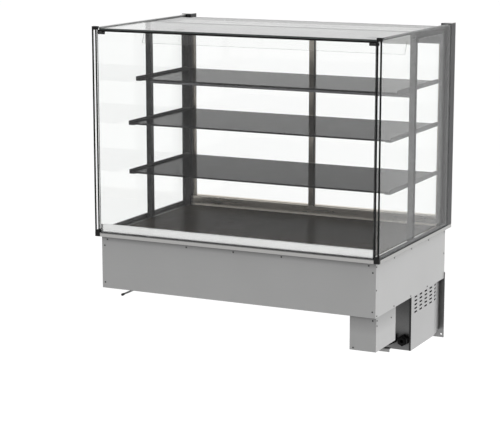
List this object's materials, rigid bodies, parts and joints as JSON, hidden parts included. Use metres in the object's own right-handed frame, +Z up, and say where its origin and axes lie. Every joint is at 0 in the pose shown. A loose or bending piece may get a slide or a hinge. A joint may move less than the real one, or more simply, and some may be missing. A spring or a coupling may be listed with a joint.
{
  "type": "hot food display case",
  "caption": "Drop-in heated display case: glass housing over a stainless base, dark shelves on side frames, hinged front pane, rear sliding doors and service boxes below.",
  "frame": {"origin": "centre of the bounding box in plan, at the lowest edge of the rear control panel", "axes": "+Z up, +Y to the operator's side (rear), +X to the right seen from the customer's side; the counter top level is z = 0.420 m"},
  "size_m": [1.1, 0.72, 1.175],
  "materials": {
    "stainless": "fine brushed stainless sheet",
    "steel_screws": "small dull steel screws",
    "anthracite_paint": "satin anthracite powder coat",
    "aluminium": "brushed anodised",
    "clear_glass": "clear float glass with dark polished edges",
    "smoked_glass": "glossy dark shelf glass",
    "black_glass": "glossy black glass-ceramic",
    "black_plastic": "black moulded plastic",
    "seal_rubber": "dark seal",
    "lamp_lens": "translucent moulded plastic"
  },
  "bodies": {
    "case": {"air_deflector": "clear_glass", "cable_glands": "black_plastic", "canopy_front_rail": "aluminium", "canopy_sheet": "aluminium", "casing_floor": "stainless", "casing_front": "stainless", "casing_rear": "stainless", "casing_screws": "steel_screws", "casing_sides": "stainless", "column_caps": "black_plastic", "control_panel": "stainless", "counter_flange": "stainless", "deflector_clips": "black_plastic", "drain_cap": "black_plastic", "drain_tube": "aluminium", "flange_corner_blocks": "black_plastic", "front_seal": "seal_rubber", "front_service_box": "stainless", "front_upstand": "stainless", "glazing_spacers": "aluminium", "heated_deck": "black_glass", "heater_tray": "stainless", "heating_mat": "seal_rubber", "hinge_blocks": "black_plastic", "indicator_lamps": "lamp_lens", "lamp_diffuser": "lamp_lens", "lamp_housing": "aluminium", "lower_shelf_arms": "anthracite_paint", "lower_shelf_glass": "smoked_glass", "mid_posts": "anthracite_paint", "middle_shelf_arms": "anthracite_paint", "middle_shelf_glass": "smoked_glass", "rear_columns": "anthracite_paint", "rear_header": "anthracite_paint", "rear_posts": "anthracite_paint", "rear_service_box": "stainless", "rear_sill": "stainless", "roof_pane": "clear_glass", "service_box_bracket": "stainless", "service_box_studs": "steel_screws", "side_bottom_seals": "seal_rubber", "side_pane_inner_left": "clear_glass", "side_pane_inner_right": "clear_glass", "side_pane_outer_left": "clear_glass", "side_pane_outer_right": "clear_glass", "switch_body": "black_plastic", "thermostat_body": "black_plastic", "top_rails": "anthracite_paint", "upper_cross_bar": "aluminium", "upper_shelf_arms": "anthracite_paint", "upper_shelf_glass": "smoked_glass", "wall_corner_blocks": "black_plastic"},
    "front_glass": {"front_glass": "clear_glass", "hinge_clamps": "black_plastic"},
    "door_left": {"door_left_pane": "clear_glass", "door_left_stiles": "aluminium"},
    "door_right": {"door_right_pane": "clear_glass", "door_right_stiles": "aluminium"},
    "switch_rocker": {"switch_rocker": "black_plastic"},
    "thermostat_knob": {"thermostat_knob": "black_plastic"}
  },
  "joints": [
    {"name": "front_glass_hinge", "type": "hinge", "parent": "case", "child": "front_glass", "pos_m": [0, -0.35, 1.16], "axis": [-1, 0, 0], "range_deg": [0, 85]},
    {"name": "door_left_slide", "type": "slide", "parent": "case", "child": "door_left", "axis": [1, 0, 0], "range_m": [0, 0.48]},
    {"name": "door_right_slide", "type": "slide", "parent": "case", "child": "door_right", "axis": [-1, 0, 0], "range_m": [0, 0.48]},
    {"name": "switch_rocker_tilt", "type": "hinge", "parent": "case", "child": "switch_rocker", "pos_m": [0.398, 0.344, 0.182], "axis": [-1, 0, 0], "range_deg": [0, 18]},
    {"name": "thermostat_knob_turn", "type": "hinge", "parent": "case", "child": "thermostat_knob", "pos_m": [0.462, 0.35, 0.182], "axis": [0, -1, 0], "range_deg": [0, 270]}
  ]
}
